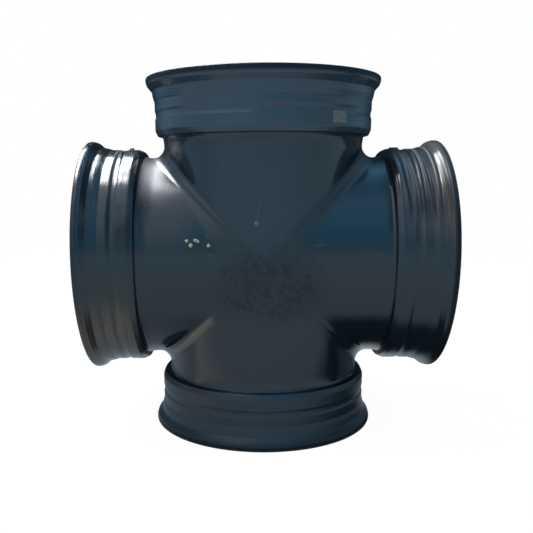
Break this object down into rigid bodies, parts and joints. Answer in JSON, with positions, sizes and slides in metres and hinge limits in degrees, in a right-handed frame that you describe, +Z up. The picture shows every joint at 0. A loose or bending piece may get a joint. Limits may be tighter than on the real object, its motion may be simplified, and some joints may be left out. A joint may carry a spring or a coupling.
{
  "type": "pipe cross",
  "caption": "Black plastic pipe cross with stepped push-fit sockets that joins drain pipes at right angles.",
  "frame": {"origin": "the point where the axes of the run and of the branches cross, the middle of the fitting", "axes": "+Z up the run, +X along the right branch, the front with the moulding gate looks along -Y"},
  "size_m": [0.582, 0.3868, 0.582],
  "materials": {
    "black_polyethylene": "glossy as moulded, with a soft sheen and faint scuffs"
  },
  "bodies": {
    "root": {"cross_body": "black_polyethylene"}
  },
  "joints": []
}
